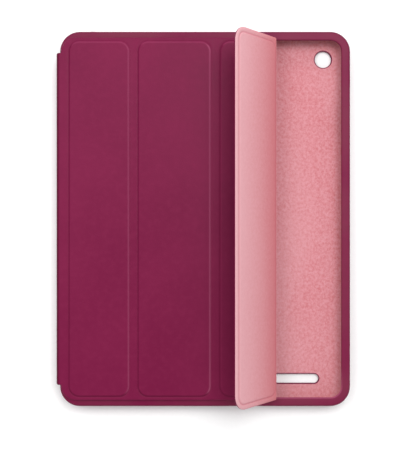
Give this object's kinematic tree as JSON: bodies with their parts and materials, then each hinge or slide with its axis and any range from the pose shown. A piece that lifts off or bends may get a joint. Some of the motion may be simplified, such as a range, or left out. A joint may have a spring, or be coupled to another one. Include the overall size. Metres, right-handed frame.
{
  "type": "tablet case",
  "caption": "Slim folio case for a tablet: moulded back tray with a rolled lip, spine strip and a soft-lined front cover that folds in stiffened leaves.",
  "frame": {"origin": "centre of the tray's back face, on which the case lies", "axes": "+Z out of the tablet's screen, +Y towards the tablet's top end, +X away from the spine"},
  "size_m": [0.1934, 0.2463, 0.0544],
  "materials": {
    "tray_skin": "fine-grained polyurethane, satin",
    "cover_skin": "fine-grained polyurethane, satin",
    "soft_lining": "brushed microfibre suede",
    "stiff_core": "moulded, matte",
    "board": "pressed glass-fibre sheet, matte",
    "steel": "rolled strip",
    "magnet": "nickel plated"
  },
  "bodies": {
    "tray": {"tray_outer_skin": "tray_skin", "tray_stiff_core": "stiff_core", "tray_soft_lining": "soft_lining", "spine_to_tray_fold": "cover_skin"},
    "power_button": {"power_button_pad": "tray_skin"},
    "volume_rocker": {"volume_rocker_pad": "tray_skin"},
    "spine": {"spine_outer_skin": "cover_skin", "spine_board": "board", "spine_soft_lining": "soft_lining", "spine_to_cover_fold": "cover_skin"},
    "leaf_1": {"leaf_1_outer_skin": "cover_skin", "leaf_1_board": "board", "leaf_1_soft_lining": "soft_lining", "stand_steel_strip": "steel", "fold_1_2": "cover_skin"},
    "leaf_2": {"leaf_2_outer_skin": "cover_skin", "leaf_2_board": "board", "leaf_2_soft_lining": "soft_lining", "fold_2_3": "cover_skin"},
    "leaf_3": {"leaf_3_outer_skin": "cover_skin", "leaf_3_board": "board", "leaf_3_soft_lining": "soft_lining", "fold_3_4": "cover_skin"},
    "leaf_4": {"leaf_4_outer_skin": "cover_skin", "leaf_4_board": "board", "leaf_4_soft_lining": "soft_lining", "closing_magnets": "magnet", "wake_magnet": "magnet"}
  },
  "joints": [
    {"name": "spine_hinge", "type": "hinge", "parent": "tray", "child": "spine", "pos_m": [-0.0981, 0, -0.0003], "axis": [0, -1, 0], "range_deg": [0, 270], "deforming": ["spine_to_tray_fold"]},
    {"name": "cover_hinge", "type": "hinge", "parent": "spine", "child": "leaf_1", "pos_m": [-0.0981, 0, 0.01615], "axis": [0, 1, 0], "range_deg": [-90, 0], "deforming": ["spine_to_cover_fold"]},
    {"name": "fold_1_2_hinge", "type": "hinge", "parent": "leaf_1", "child": "leaf_2", "pos_m": [-0.0474, 0, 0.01625], "axis": [0, 1, 0], "range_deg": [-160, 0], "deforming": ["fold_1_2"]},
    {"name": "fold_2_3_hinge", "type": "hinge", "parent": "leaf_2", "child": "leaf_3", "pos_m": [0.0067, 0, 0.01625], "axis": [0, -1, 0], "range_deg": [0, 100], "deforming": ["fold_2_3"]},
    {"name": "fold_3_4_hinge", "type": "hinge", "parent": "leaf_3", "child": "leaf_4", "pos_m": [0.0461, 0, 0.01625], "axis": [0, 1, 0], "range_deg": [-35, 128.3], "deforming": ["fold_3_4"]},
    {"name": "power_button_press", "type": "slide", "parent": "tray", "child": "power_button", "axis": [0, -1, 0], "range_m": [0, 0.0005], "stiffness_N_per_m": 2000, "springref_m": -0.0003},
    {"name": "volume_rocker_tilt", "type": "hinge", "parent": "tray", "child": "volume_rocker", "pos_m": [0.09417, 0.0646, 0.00825], "axis": [0, 0, 1], "range_deg": [-2.5, 2.5], "stiffness_Nm_per_rad": 0.3}
  ]
}
